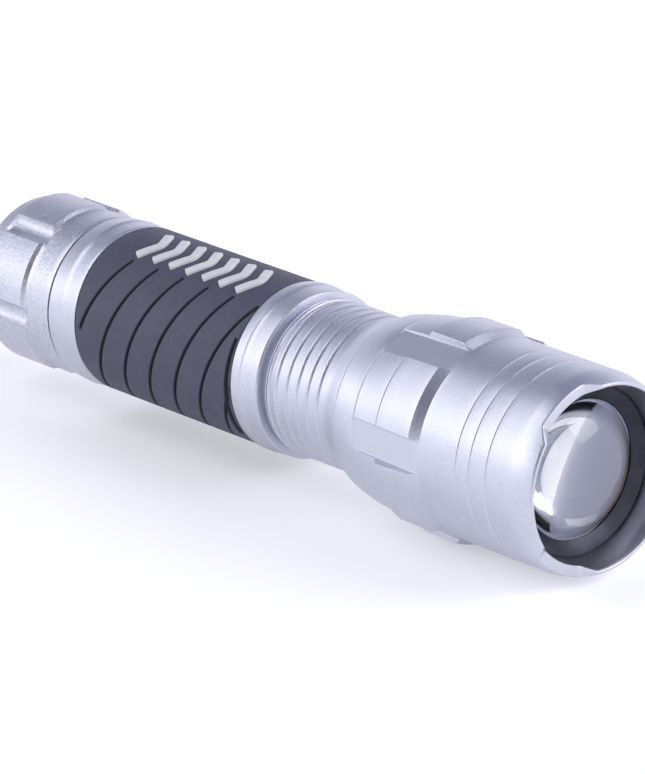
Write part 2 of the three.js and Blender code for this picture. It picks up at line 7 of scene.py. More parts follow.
import math

import bmesh
import bpy
import numpy as np
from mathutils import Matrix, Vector


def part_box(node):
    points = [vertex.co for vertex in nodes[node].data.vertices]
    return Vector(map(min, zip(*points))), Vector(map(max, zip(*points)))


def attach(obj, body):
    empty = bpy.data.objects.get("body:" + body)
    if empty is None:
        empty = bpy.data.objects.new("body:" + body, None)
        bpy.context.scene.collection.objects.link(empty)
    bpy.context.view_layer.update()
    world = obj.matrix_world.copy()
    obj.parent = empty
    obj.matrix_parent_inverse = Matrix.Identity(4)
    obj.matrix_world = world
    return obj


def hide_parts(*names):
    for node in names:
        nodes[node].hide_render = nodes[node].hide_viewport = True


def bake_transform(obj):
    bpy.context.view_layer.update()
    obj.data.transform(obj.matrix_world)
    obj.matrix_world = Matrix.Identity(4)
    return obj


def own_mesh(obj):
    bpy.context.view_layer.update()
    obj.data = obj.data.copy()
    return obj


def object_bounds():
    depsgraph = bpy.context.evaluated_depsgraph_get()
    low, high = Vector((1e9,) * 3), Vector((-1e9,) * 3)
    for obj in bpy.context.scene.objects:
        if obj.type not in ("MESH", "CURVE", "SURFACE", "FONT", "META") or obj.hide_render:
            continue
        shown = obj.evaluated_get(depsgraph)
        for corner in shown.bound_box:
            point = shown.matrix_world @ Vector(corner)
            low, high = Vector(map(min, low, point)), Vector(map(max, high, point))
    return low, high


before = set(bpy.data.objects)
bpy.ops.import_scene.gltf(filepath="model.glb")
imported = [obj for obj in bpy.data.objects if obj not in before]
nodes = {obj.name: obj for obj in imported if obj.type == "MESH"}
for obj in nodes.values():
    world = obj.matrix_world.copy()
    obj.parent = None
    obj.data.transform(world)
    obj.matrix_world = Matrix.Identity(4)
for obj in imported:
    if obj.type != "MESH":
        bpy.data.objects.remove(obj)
cad_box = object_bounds()

# ---- Driving dimensions ----------------------------------------------------------------------------

MM = 0.001
TAIL_RIM = cad_box[0].x / MM
BEZEL_RIM = cad_box[1].x / MM
AXIS_Z = cad_box[1].z / MM / 2
OUTER_SEGMENTS = 240
INNER_SEGMENTS = 144
SMALL_SEGMENTS = 96
CORD_SEGMENTS = 192
FILLET = 0.1
SEAT = 0.2                                # axial gap between pieces that sit face to face
FIT = 0.15                                # radial gap between pieces that sit in each other

# Head
HEAD_R = 16.7
PAD_R = 17.75
LOW_PAD_R = 16.85
SKIRT_REAR = 5.15
SKIRT_BORE = 12.25
FIRST_RIB_GROOVE = 7.5
RIB_PITCH = 2.49
RIB_COUNT = 5
RIB_R = 13.28
FLARE_START = 19.2
FLARE_STEP = 23.2
FLARE_STEP_R = 14.95
FLARE_END_R = 16.2
PAD_REAR = 29.2
PAD_STEP = 35.1
PAD_FRONT = 43.5
PAD_FOOT = 45.1
PADS = 6
FIRST_HEAD_CHANNEL = -27.5
CHANNEL_HALF_FLOOR = 2.55
CHANNEL_WALL_SLOPE = 0.5
CHANNEL_FLOOR = (16.05, 16.74)            # at the pads' rear and front
LINE_GROOVES = (53.6, 56.6, 60.4)
TAPER_START = 65.3
RIM_OUTER_R = 15.6
RIM_INNER_R = 15.1
BEZEL_FLARE = 4.6                         # the bezel's bore widens over this length
LENS_SEAT = 60.6
LENS_SEAT_R = 14
CAVITY_R = 13.3
STOP_SHOULDER = 32
NOTCHES = 3
FIRST_NOTCH = -29
NOTCH_DEPTH = 1.8
NOTCH_HALF_FLOOR = 17.5
NOTCH_HALF_MOUTH = 26.5

# Lens
LENS_R = 13.75
LENS_REAR = 62
LENS_RIM = 1.7
DOME_R = 11.3
DOME_HEIGHT = 5.4

# Barrel
TUBE_BORE = 11.2
PILL_BORE = 10.6
PILL_SEAT = 22.5
RING_R = 14.3
RING_STEP = -46.35
SEAM = -50
GRIP_REAR = -42.8
GRIP_FRONT = -2.5
GRIP_SEAT_R = 12.9
GRIP_R = 14.2
COLLAR_R = 14.4
COLLAR_STEP = -0.45
COLLAR_FRONT = 4.5
NECK_R = 12
NECK_FRONT = 44
NECK_GROOVE = (28, 30)                    # holds the neck O-ring
NECK_GROOVE_R = 11.1
THREAD_R = 12.3
THREAD_END = -56.5
THREAD_PITCH = 1.0
THREAD_DEPTH = 0.45

# Grip pattern
GROOVE_PITCH = 6.4
GROOVE_LEAD = 6 * GROOVE_PITCH / 360      # how far a groove runs forward in one degree
FIRST_GROOVE = -41.2                      # where the first groove crosses the -90 degree line
GROOVE_WIDTH = 0.62
GROOVE_DEPTH = 0.5
PANEL = (-33, 57)                         # the plain panel that carries the mark
EDGE_GROOVE = (-60, -133)                 # a groove close to the front edge runs between these angles
MARK_MIDDLE = -13                         # degrees round from the top
MARK_STATIONS = (-34.0, -8.8)
CHEVRONS = 7

# Tail cap
CAP_R = 14.15
CAP_PAD_R = 14.68
CAP_RIM_R = 13.5
CAP_BORE = 12.6
CAP_PAD_REAR = -66
CAP_PAD_FRONT = -56.4
FIRST_CAP_CHANNEL = -37
CAP_CHANNEL_FLOOR = 13.35
CAP_CHANNEL_ENDS = (-66, -56.1)
FLUTE_R = 2.2
SWITCH_BORE = 10.5
SWITCH_SEAT = -66.1
END_WALL = -68
END_RECESS_R = 9.5
BUTTON_HOLE_R = 6.7
BOOT_R = 6.3
BOOT_TIP = -69.6
HOUSING_REAR = -64.9


# ---- Mesh helpers ----------------------------------------------------------------------------------

def around(x, r, degrees):
    """Points at station x and radius r, at angles round the torch, in metres."""
    angle = np.radians(degrees)
    parts = np.broadcast_arrays(x, r * np.sin(angle), AXIS_Z + r * np.cos(angle))
    return np.stack(parts, axis=-1) * MM


def even_angles(count, first=0):
    """Angles that divide a full turn evenly, in degrees."""
    return first + np.arange(count) * 360 / count


def soft_min(a, b, softness):
    """The smaller of two values, with the crease between them rounded."""
    share = np.clip(0.5 + 0.5 * (b - a) / softness, 0, 1)
    return b + (a - b) * share - softness * share * (1 - share)


def soft_max(a, b, softness):
    """The larger of two values, rounded in the same way."""
    return -soft_min(-a, -b, softness)


def rounded(outline, fillet=FILLET, steps=3):
    """The closed outline with its corners as small arcs. A corner's third value is its own radius."""
    corners = [np.array(corner[:2], float) for corner in outline]
    radii = [corner[2] if len(corner) > 2 else fillet for corner in outline]
    points = []
    for i, corner in enumerate(corners):
        before = corners[i - 1] - corner
        after = corners[(i + 1) % len(corners)] - corner
        lengths = np.hypot(*before), np.hypot(*after)
        turn = math.pi - math.acos(np.clip(before @ after / lengths[0] / lengths[1], -1, 1))
        if turn < 0.3 or corner[1] == 0:
            points.append(corner)
            continue
        reach = min(radii[i] * math.tan(turn / 2), 0.45 * lengths[0], 0.45 * lengths[1])
        start = corner + before / lengths[0] * reach
        end = corner + after / lengths[1] * reach
        for t in np.linspace(0, 1, steps + 1):
            points.append((1 - t) ** 2 * start + 2 * t * (1 - t) * corner + t ** 2 * end)
    return points


def spaced(points, longest=1.5):
    """The same points, with more between any two that lie far apart."""
    filled = []
    for a, b in zip(points, points[1:]):
        count = max(1, math.ceil(np.hypot(*(b - a)) / longest))
        filled += [a + (b - a) * i / count for i in range(count)]
    return [*filled, points[-1]]


def loft(rows, closed=True):
    """Vertices and faces of a skin through rings of points. A ring of one point is a pole."""
    starts = np.cumsum([0] + [len(row) for row in rows])
    pairs = list(zip(range(len(rows)), range(1, len(rows))))
    if closed:
        pairs.append((len(rows) - 1, 0))
    faces = []
    for a, b in pairs:
        count = max(len(rows[a]), len(rows[b]))
        for j in range(count):
            k = (j + 1) % count
            quad = [starts[a] + j % len(rows[a]), starts[a] + k % len(rows[a]),
                    starts[b] + k % len(rows[b]), starts[b] + j % len(rows[b])]
            faces.append(list(dict.fromkeys(quad)))
    return np.vstack(rows), faces


def turned(outline, segments=OUTER_SEGMENTS, fillet=FILLET):
    """The skin of a body turned about the axis. The outline is closed, or starts and ends on the axis."""
    angles = even_angles(segments)
    rows = [around(x, r, angles) if r > 0 else around(x, 0, np.zeros(1))
            for x, r in rounded(outline, fillet)]
    return loft(rows, closed=outline[0][1] > 0)


def joined(*skins):
    """Several skins as one."""
    vertices, faces, offset = [], [], 0
    for points, polygons in skins:
        vertices.append(points)
        faces += [[offset + i for i in polygon] for polygon in polygons]
        offset += len(points)
    return np.vstack(vertices), faces


def piece(name, skin, material, body, stands_for=(), sharp=40):
    """A smooth-shaded object from a skin, riding on a body and standing for its CAD nodes."""
    vertices, faces = skin
    mesh = bpy.data.meshes.new(name)
    mesh.from_pydata(vertices.tolist(), [], [list(map(int, polygon)) for polygon in faces])
    work = bmesh.new()
    work.from_mesh(mesh)
    bmesh.ops.remove_doubles(work, verts=work.verts, dist=2e-7)
    bmesh.ops.dissolve_degenerate(work, edges=work.edges, dist=2e-7)
    bmesh.ops.recalc_face_normals(work, faces=work.faces)
    for edge in work.edges:
        edge.smooth = edge.is_manifold and edge.calc_face_angle(0) < math.radians(sharp)
    for face in work.faces:
        face.smooth = True
    work.to_mesh(mesh)
    work.free()
    mesh.materials.append(material)
    made = bpy.data.objects.new(name, mesh)
    bpy.context.scene.collection.objects.link(made)
    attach(made, body)
    if stands_for:
        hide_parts(*stands_for)
    return made


def coil(start_x, end_x, start_r, end_r, turns, wire_r, sides=12, steps_per_turn=30):
    """The skin of a coil spring about the torch's axis, with round ends."""
    count = int(turns * steps_per_turn)
    share = np.linspace(0, 1, count + 1)
    angle = 2 * math.pi * turns * share
    r = start_r + (end_r - start_r) * share
    x = start_x + (end_x - start_x) * share
    path = np.stack([x, r * np.sin(angle), r * np.cos(angle) + AXIS_Z], axis=1)
    return tube_along(path * MM, wire_r * MM, sides)


def tube_along(path, radius, sides=12):
    """The skin of a round wire along a path of points in metres, with rounded ends."""
    tangents = np.gradient(path, axis=0)
    tangents /= np.linalg.norm(tangents, axis=1)[:, None]
    side = np.cross(tangents[0], (0.3, 0.5, 0.8))
    turn = np.radians(even_angles(sides))
    rows = []
    for i, (point, tangent) in enumerate(zip(path, tangents)):
        side = side - tangent * (side @ tangent)
        side /= np.linalg.norm(side)
        up = np.cross(tangent, side)
        ring = np.outer(np.cos(turn), side) + np.outer(np.sin(turn), up)
        if i == 0:
            rows.append((point - tangent * radius)[None, :])
            rows.append(point - tangent * radius * 0.7 + ring * radius * 0.7)
        rows.append(point + ring * radius)
    rows.append(path[-1] + tangents[-1] * radius * 0.7 + ring * radius * 0.7)
    rows.append((path[-1] + tangents[-1] * radius)[None, :])
    return loft(rows, closed=False)


def crowned(start, end, rise, steps=5):
    """Outline points on a shallow convex curve that stands above its chord."""
    (x0, r0), (x1, r1) = start, end
    return [(x0 + (x1 - x0) * t, r0 + (r1 - r0) * t + 4 * rise * t * (1 - t))
            for t in np.linspace(0, 1, steps + 1)]


def groove(x, r, half_width=0.13, depth=0.12):
    """Outline points of a V groove with a soft lip."""
    return [(x - half_width, r, 0.06), (x, r - depth, 0.03), (x + half_width, r, 0.06)]


def step_down(x, r, drop):
    """Outline points of a small step towards the head, with a hollow fillet at its foot."""
    return [(x - 0.12, r, 0.12), (x + 0.18, r - 0.6 * drop, 0.03), (x + 0.5, r - 0.9 * drop, 0.3),
            (x + 1.0, r - drop, 0.4)]


# ---- Materials -------------------------------------------------------------------------------------

def mixed_colour(tree, share, first, second):
    """A colour between two others, in any node tree."""
    made = tree.nodes.new("ShaderNodeMix")
    made.data_type = "RGBA"
    for socket, value in ((made.inputs[0], share), (made.inputs[6], first), (made.inputs[7], second)):
        if isinstance(value, bpy.types.NodeSocket):
            tree.links.new(value, socket)
        else:
            socket.default_value = value
    return made.outputs[2]


class Finish:
    """A Principled material and short ways to add noise, bump and colour change to it."""

    def __init__(self, name, **values):
        self.material = bpy.data.materials.new(name)
        self.material.use_nodes = True
        self.tree = self.material.node_tree
        self.shader = self.tree.nodes["Principled BSDF"]
        self.place = self.add("ShaderNodeTexCoord").outputs["Object"]
        for socket, value in values.items():
            self.shader.inputs[socket.replace("_", " ")].default_value = value

    def add(self, kind, **inputs):
        made = self.tree.nodes.new(kind)
        for socket, value in inputs.items():
            target = made.inputs[socket.replace("_", " ")]
            if isinstance(value, bpy.types.NodeSocket):
                self.tree.links.new(value, target)
            else:
                target.default_value = value
        return made

    def noise(self, size, detail=3, roughness=0.5):
        """Noise whose lumps are about this many millimetres across."""
        made = self.add("ShaderNodeTexNoise", Vector=self.place, Scale=1 / (size * MM), Detail=detail,
                        Roughness=roughness)
        return made.outputs["Fac"]

    def between(self, value, low, high, start=0.3, end=0.7):
        """A value from low to high as the source goes from start to end."""
        made = self.add("ShaderNodeMapRange", Value=value, From_Min=start, From_Max=end,
                        To_Min=low, To_Max=high)
        return made.outputs["Result"]

    def mixed(self, share, first, second):
        return mixed_colour(self.tree, share, first, second)

    def colour(self, value):
        self.tree.links.new(value, self.shader.inputs["Base Color"])

    def clouded(self, size, detail, first, second):
        """Colour that drifts between two tones in clouds about this many millimetres across."""
        share = self.between(self.noise(size, detail), 0, 1)
        self.colour(self.mixed(share, (*first, 1), (*second, 1)))

    def roughness(self, value):
        self.tree.links.new(value, self.shader.inputs["Roughness"])

    def bump(self, height, depth, strength=1.0, after=None):
        """Bump of this depth in millimetres, on top of an earlier bump."""
        made = self.add("ShaderNodeBump", Height=height, Distance=depth * MM, Strength=strength)
        if after:
            self.tree.links.new(after.outputs["Normal"], made.inputs["Normal"])
        self.tree.links.new(made.outputs["Normal"], self.shader.inputs["Normal"])
        return made

    def attribute(self, name):
        made = self.tree.nodes.new("ShaderNodeAttribute")
        made.attribute_name = name
        return made.outputs["Fac"]


def satin_aluminium(name, grain_size, grain_depth, dull, bright):
    """Bead-blasted and clear-anodised aluminium with a fine sparkle between two tones."""
    finish = Finish(name, Metallic=1.0)
    cloud = finish.between(finish.noise(9, 2), 0, 1)
    plain = finish.mixed(cloud, (*dull, 1), (*(tone + 0.03 for tone in dull), 1))
    speck = finish.between(finish.noise(grain_size, 2, 0.6), 0, 1)
    finish.colour(finish.mixed(speck, plain, (*bright, 1)))
    finish.roughness(finish.between(finish.noise(grain_size, 1), 0.30, 0.40))
    finish.bump(finish.noise(grain_size, 2, 0.5), grain_depth, 1.0)
    return finish.material


def cavity_lining_painted_glow():
    """The pale satin inside of the head, which the lens magnifies, with a faint lavender painted glow that
    brightens it.
    """
    # Painted light: the lining glows faintly lavender, though it is no lamp.
    finish = Finish("cavity_lining_painted_glow", Emission_Color=(0.50, 0.56, 0.88, 1), Emission_Strength=0.15)
    finish.clouded(14, 1, (0.76, 0.79, 0.93), (0.82, 0.85, 0.97))
    finish.roughness(finish.between(finish.noise(5, 1), 0.4, 0.5))
    return finish.material


def grip_rubber():
    finish = Finish("grip_rubber")
    cloud = finish.between(finish.noise(5, 3), 0, 1)
    plain = finish.mixed(cloud, (0.070, 0.072, 0.112, 1), (0.086, 0.088, 0.136, 1))
    # Painted shade: the grooves darken to near black with their depth.
    groove_shade = finish.between(finish.attribute("groove"), 0, 1, 0.15, 0.75)
    finish.colour(finish.mixed(groove_shade, plain, (0.012, 0.012, 0.018, 1)))
    finish.roughness(finish.between(finish.noise(0.8, 3), 0.5, 0.68))
    skin = finish.bump(finish.noise(0.35, 4, 0.65), 0.02, 0.5)
    finish.bump(finish.noise(3.5, 2), 0.05, 0.25, skin)
    return finish.material


def white_rubber():
    finish = Finish("white_rubber")
    finish.clouded(2.5, 3, (0.70, 0.70, 0.72), (0.80, 0.80, 0.81))
    finish.roughness(finish.between(finish.noise(0.6, 3), 0.42, 0.6))
    finish.bump(finish.noise(0.3, 3), 0.012, 0.4)
    return finish.material


def black_rubber():
    finish = Finish("black_rubber")
    finish.clouded(2, 3, (0.010, 0.010, 0.012), (0.020, 0.020, 0.023))
    finish.roughness(finish.between(finish.noise(0.7, 3), 0.42, 0.62))
    finish.bump(finish.noise(0.25, 4), 0.012, 0.5)
    return finish.material


def dark_anodised():
    finish = Finish("dark_anodised", Metallic=1.0)
    finish.clouded(4, 2, (0.040, 0.040, 0.052), (0.058, 0.058, 0.074))
    finish.roughness(finish.between(finish.noise(0.4, 3), 0.28, 0.42))
    finish.bump(finish.noise(0.3, 3), 0.006, 0.5)
    return finish.material


def clear_lens():
    """Polished acrylic that lets the lamps light what is behind it."""
    finish = Finish("clear_lens", Transmission_Weight=1.0, IOR=1.49, Roughness=0.0)
    finish.clouded(8, 1, (0.96, 0.96, 0.99), (0.98, 0.98, 1.0))
    path = finish.add("ShaderNodeLightPath")
    open_to_lamps = finish.add("ShaderNodeBsdfTransparent", Color=(0.92, 0.92, 0.95, 1))
    mix = finish.add("ShaderNodeMixShader")
    links = finish.tree.links
    links.new(path.outputs["Is Shadow Ray"], mix.inputs[0])
    links.new(finish.shader.outputs[0], mix.inputs[1])
    links.new(open_to_lamps.outputs[0], mix.inputs[2])
    links.new(mix.outputs[0], finish.tree.nodes["Material Output"].inputs["Surface"])
    return finish.material


def metal(name, dark, light, smooth, rough):
    """A bare or plated metal with clouding and fine tool marks."""
    finish = Finish(name, Metallic=1.0)
    finish.clouded(3, 3, dark, light)
    finish.roughness(finish.between(finish.noise(0.5, 3), smooth, rough))
    finish.bump(finish.noise(0.25, 3), 0.006, 0.4)
    return finish.material


def plastic(name, dark, light, smooth, rough, grain=0.4, depth=0.01):
    """A moulded or printed surface with a fine grain."""
    finish = Finish(name)
    finish.clouded(2.5, 3, dark, light)
    finish.roughness(finish.between(finish.noise(0.7, 3), smooth, rough))
    finish.bump(finish.noise(grain, 3), depth, 0.5)
    return finish.material


ALUMINIUM = satin_aluminium("satin_aluminium", 0.28, 0.032, (0.63, 0.64, 0.72), (0.75, 0.76, 0.84))
BLASTED_ALUMINIUM = satin_aluminium("blasted_aluminium", 0.4, 0.07, (0.56, 0.57, 0.64), (0.79, 0.80, 0.87))
# Painted shade: a darker copy of the satin aluminium, with a smoother grain, for the inside of the bezel.
BORE_ALUMINIUM_PAINTED_SHADE = satin_aluminium("bore_aluminium_painted_shade", 0.34, 0.008, (0.38, 0.38, 0.44), (0.47, 0.47, 0.53))
CAVITY_LINING_PAINTED_GLOW = cavity_lining_painted_glow()
GRIP_RUBBER = grip_rubber()
WHITE_RUBBER = white_rubber()
BLACK_RUBBER = black_rubber()
DARK_ANODISED = dark_anodised()
CLEAR_LENS = clear_lens()
BRASS = metal("brass", (0.55, 0.40, 0.16), (0.68, 0.52, 0.24), 0.28, 0.42)
STEEL = metal("spring_steel", (0.52, 0.52, 0.54), (0.66, 0.66, 0.68), 0.22, 0.36)
WHITE_BOARD = plastic("white_board", (0.72, 0.72, 0.70), (0.80, 0.80, 0.78), 0.35, 0.5)
PHOSPHOR = plastic("phosphor", (0.80, 0.62, 0.10), (0.88, 0.72, 0.16), 0.25, 0.4)
CIRCUIT_BOARD = plastic("circuit_board", (0.012, 0.10, 0.035), (0.02, 0.15, 0.05), 0.3, 0.45)
BLACK_PLASTIC = plastic("black_plastic", (0.012, 0.012, 0.013), (0.022, 0.022, 0.024), 0.4, 0.55)
CELL_WRAP = plastic("cell_wrap", (0.035, 0.045, 0.06), (0.05, 0.062, 0.08), 0.2, 0.32, 1.5, 0.01)
RED_INSULATION = plastic("red_insulation", (0.45, 0.02, 0.015), (0.55, 0.03, 0.02), 0.35, 0.5)
BLACK_INSULATION = plastic("black_insulation", (0.012, 0.012, 0.012), (0.02, 0.02, 0.02), 0.35, 0.5)


# ---- Channels between pads -------------------------------------------------------------------------

class Channels:
    """Flat-floored channels between the pads of a turned piece."""
    SOFTNESS = 0.12
    FOOT = 8.0                # nominal angles of a channel's foot and top corner, from its middle
    TOP = 10.6

    def __init__(self, count, first, half_floor, wall_slope, floor_at):
        self.pitch = 360 / count
        self.first = first
        self.half_floor = half_floor
        self.wall_slope = wall_slope
        self.floor_at = floor_at

    def base_angles(self, extra=()):
        """Nominal angles round the piece, close together at each channel's foot and top corner."""
        half = [0, 2, 4, 5.5, 6.5, 7.1, 7.5, 7.8, 8, 8.2, 8.6, 9.2, 9.8, 10.2, 10.45, 10.6, 10.8, 11.1, 11.6,
                *np.linspace(12.5, self.pitch / 2, 16)]
        sector = sorted({-a for a in half[1:]} | set(half[:-1]))
        angles = [self.first + self.pitch * k + a for k in range(round(360 / self.pitch)) for a in sector]
        angles = np.sort(np.round(np.mod([*angles, *extra], 360), 3))
        return angles[np.insert(np.diff(angles) > 0.12, 0, True)]

    def from_middle(self, angles):
        """Angles from the nearest channel's middle."""
        return (angles - self.first + self.pitch / 2) % self.pitch - self.pitch / 2

    def corner_angles(self, floor, r):
        """Where the floor meets the wall, and where the wall meets the pad."""
        if math.hypot(floor, self.half_floor) > r - 0.02:
            return self.FOOT, self.TOP
        foot = math.degrees(math.atan2(self.half_floor, floor))
        a = self.half_floor - self.wall_slope * floor
        b = 1 + self.wall_slope ** 2
        root = (self.wall_slope * a) ** 2 - b * (a * a - r * r)
        z = (-self.wall_slope * a + math.sqrt(max(root, 0))) / b
        top = math.degrees(math.atan2(a + self.wall_slope * z, z))
        return foot, max(top, foot + 0.4)

    def section(self, x, r, base):
        """Angles and radii of the piece at a station whose pads have radius r."""
        floor = self.floor_at(x)
        foot, top = self.corner_angles(floor, r)
        offset = self.from_middle(base)
        knots = [0, self.FOOT, self.TOP, self.pitch / 2]
        moved = np.interp(np.abs(offset), knots, [0, foot, top, self.pitch / 2])
        angles = base - offset + np.sign(offset) * moved
        return angles, soft_min(r, self.channel(floor, np.radians(moved)), self.SOFTNESS)

    def channel(self, floor, turn):
        """The channel's own radius at angles from its middle, in radians."""
        flat = floor / np.cos(turn)
        slope = np.cos(turn) - np.sin(turn) / self.wall_slope
        wall = (floor - self.half_floor / self.wall_slope) / np.maximum(slope, 0.05)
        wall = np.where(slope > 0.05, wall, 1e3)
        return soft_max(flat, np.minimum(wall, 1e3), self.SOFTNESS)


class Flutes(Channels):
    """Channels with a round hollow section, whose radius takes the place of the floor's half width."""
    SOFTNESS = 0.06

    def corner_angles(self, floor, r):
        middle = floor + self.half_floor
        cosine = (middle ** 2 + r ** 2 - self.half_floor ** 2) / (2 * middle * r)
        if cosine > 0.9999 or floor > r:
            return self.FOOT, self.TOP
        top = math.degrees(math.acos(cosine))
        return 0.75 * top, top

    def channel(self, floor, turn):
        middle = floor + self.half_floor
        inside = self.half_floor ** 2 - (middle * np.sin(turn)) ** 2
        return np.where(inside > 0, middle * np.cos(turn) - np.sqrt(np.maximum(inside, 0)), 1e3)


# ---- Head ------------------------------------------------------------------------------------------

def head_floor(x):
    """The head's channel floors rise to the front."""
    rear, front = CHANNEL_FLOOR
    return rear + (front - rear) * (x - PAD_REAR) / (PAD_FOOT - PAD_REAR)


def rib(groove_x):
    """A level band with a crest at its front, and the groove in front of it."""
    low = RIB_R - 0.13
    return [(groove_x - 2.3, low - 0.02, 0.1), (groove_x - 0.92, low + 0.02, 0.1),
            (groove_x - 0.62, RIB_R, 0.08), (groove_x - 0.42, RIB_R - 0.02, 0.06),
            (groove_x - 0.13, low - 0.03, 0.04), (groove_x, low - 0.12, 0.03),
            (groove_x + 0.12, low - 0.02, 0.03)]


def head_outline():
    """The head's outside from the skirt's rear face to the taper."""
    ribs = [point for i in range(RIB_COUNT) for point in rib(FIRST_RIB_GROOVE + RIB_PITCH * i)]
    last = FIRST_RIB_GROOVE + RIB_PITCH * (RIB_COUNT - 1)
    grooves = [point for x in LINE_GROOVES for point in groove(x, HEAD_R)]
    return [
        (SKIRT_REAR, SKIRT_BORE + 0.3), (SKIRT_REAR, RIB_R - 0.12, 0.04), (SKIRT_REAR + 0.12, RIB_R, 0.05),
        (SKIRT_REAR + 0.32, RIB_R - 0.08, 0.04), (SKIRT_REAR + 0.5, RIB_R - 0.3, 0.04),
        *ribs[1:], (last + 0.3, RIB_R - 0.14), (FLARE_START - 0.3, RIB_R, 0.1),
        (FLARE_START, RIB_R + 0.04, 0.2), (FLARE_STEP, FLARE_STEP_R),
        (FLARE_STEP + 0.08, FLARE_STEP_R - 0.15, 0.03), (FLARE_STEP + 0.3, FLARE_STEP_R + 0.17, 0.08),
        *crowned((FLARE_STEP + 0.6, FLARE_STEP_R + 0.27), (PAD_REAR - 0.25, FLARE_END_R), 0.1),
        (PAD_REAR - 0.1, FLARE_END_R - 0.2, 0.03), (PAD_REAR + 0.08, FLARE_END_R - 0.2, 0.03),
        *crowned((PAD_REAR + 0.2, FLARE_END_R + 0.22), (PAD_STEP - 0.2, LOW_PAD_R), 0.06),
        (PAD_STEP - 0.08, LOW_PAD_R - 0.1, 0.03), (PAD_STEP + 0.02, LOW_PAD_R + 0.02, 0.03),
        (PAD_STEP + PAD_R - LOW_PAD_R, PAD_R), (PAD_FRONT, PAD_R), (PAD_FOOT, HEAD_R),
        *grooves, (TAPER_START, HEAD_R, 0),
    ]


def taper_radius(x):
    """The bezel's outside, which curves in to the rim."""
    share = np.clip((x - TAPER_START) / (BEZEL_RIM - TAPER_START), 0, 1)
    return HEAD_R - (HEAD_R - RIM_OUTER_R) * share ** 1.6


def bezel_bore(x):
    """The bezel's inside, which opens to the rim like a trumpet."""
    share = np.clip((x - BEZEL_RIM) / BEZEL_FLARE + 1, 0, 1)
    return LENS_SEAT_R + (RIM_INNER_R - LENS_SEAT_R) * share ** 1.7


def rim_station(angles):
    """Where the bezel's rim is at each angle: full length, or cut back in a notch."""
    pitch = 360 / NOTCHES
    offset = np.abs((angles - FIRST_NOTCH + pitch / 2) % pitch - pitch / 2)
    share = (NOTCH_HALF_MOUTH - offset) / (NOTCH_HALF_MOUTH - NOTCH_HALF_FLOOR)
    share = soft_min(soft_max(share, 0, 0.07), 1, 0.07)
    return BEZEL_RIM - NOTCH_DEPTH * share


def bezel_rows(angles):
    """Rings from the start of the taper, over the rim and back inside to the lens's ring."""
    rim = rim_station(angles)
    lip = 0.14
    length = rim - lip - TAPER_START
    outside = [around(x, taper_radius(x), angles)
               for x in [TAPER_START + length * share for share in np.linspace(0.06, 1, 14)]]
    turn = np.radians(np.linspace(20, 90, 4))
    outer_lip = [around(rim - lip + lip * math.sin(a), taper_radius(rim) - lip + lip * math.cos(a), angles)
                 for a in turn]
    inner_lip = [around(rim - lip + lip * math.sin(a), bezel_bore(rim) + lip - lip * math.cos(a), angles)
                 for a in turn[::-1]]
    inside = [around(x, bezel_bore(x), angles)
              for x in [TAPER_START + length * share for share in np.linspace(1, 0.03, 12)]]
    return outside + outer_lip + inner_lip + inside


def head_shell():
    """Skirt, pads and bezel in one skin, lined pale with a painted glow behind the lens, and with painted
    shade, a darker copy of the aluminium, in the bezel's bore before it.
    """
    channels = Channels(PADS, FIRST_HEAD_CHANNEL, CHANNEL_HALF_FLOOR, CHANNEL_WALL_SLOPE, head_floor)
    notch_corners = [middle + side * half + step
                     for middle in even_angles(NOTCHES, FIRST_NOTCH) for side in (-1, 1)
                     for half in (NOTCH_HALF_FLOOR, NOTCH_HALF_MOUTH)
                     for step in (-0.9, -0.5, -0.2, 0, 0.2, 0.5, 0.9)]
    base = channels.base_angles(notch_corners)
    rows = []
    corners = rounded(head_outline())
    for x, r in spaced(corners[1:-1]):
        angles, radii = base, r
        if PAD_REAR - 1 < x < PAD_FOOT + 0.5:
            angles, radii = channels.section(x, r, base)
        rows.append(around(x, radii, angles))
    rows += bezel_rows(base)
    inside = [(TAPER_START - 0.3, LENS_SEAT_R), (LENS_SEAT, LENS_SEAT_R), (LENS_SEAT, CAVITY_R),
              (STOP_SHOULDER, CAVITY_R), (STOP_SHOULDER, SKIRT_BORE), (SKIRT_REAR + 0.3, SKIRT_BORE)]
    rows += [around(x, r, base) for x, r in inside]
    made = piece("head_shell_fine", loft(rows), ALUMINIUM, "head", ["head_shell"])
    made.data.materials.append(CAVITY_LINING_PAINTED_GLOW)
    made.data.materials.append(BORE_ALUMINIUM_PAINTED_SHADE)
    for face in made.data.polygons:
        place = face.center / MM
        r = math.hypot(place.y, place.z - AXIS_Z)
        if FLARE_STEP < place.x < LENS_REAR and r < CAVITY_R + 0.05:
            face.material_index = 1
        # The bezel's bore gets the darker copy, which is painted shade.
        elif place.x >= LENS_REAR and r < bezel_bore(place.x) + 0.03:
            face.material_index = 2
    return made


def lens():
    """Flat behind, strongly domed in front, with a thin rim under the ring."""
    front = LENS_REAR + LENS_RIM
    sphere_r = (DOME_R ** 2 + DOME_HEIGHT ** 2) / (2 * DOME_HEIGHT)
    edge = math.asin(DOME_R / sphere_r)
    dome = [(front + DOME_HEIGHT - sphere_r * (1 - math.cos(a)), sphere_r * math.sin(a))
            for a in np.linspace(edge, 0, 40)[1:-1]]
    outline = [(LENS_REAR, 0), (LENS_REAR, LENS_R), (front, LENS_R), (front, DOME_R + 0.1), *dome,
               (front + DOME_HEIGHT, 0)]
    skin = turned(outline, INNER_SEGMENTS)
    return piece("lens_fine", skin, CLEAR_LENS, "head", ["lens"], sharp=50)


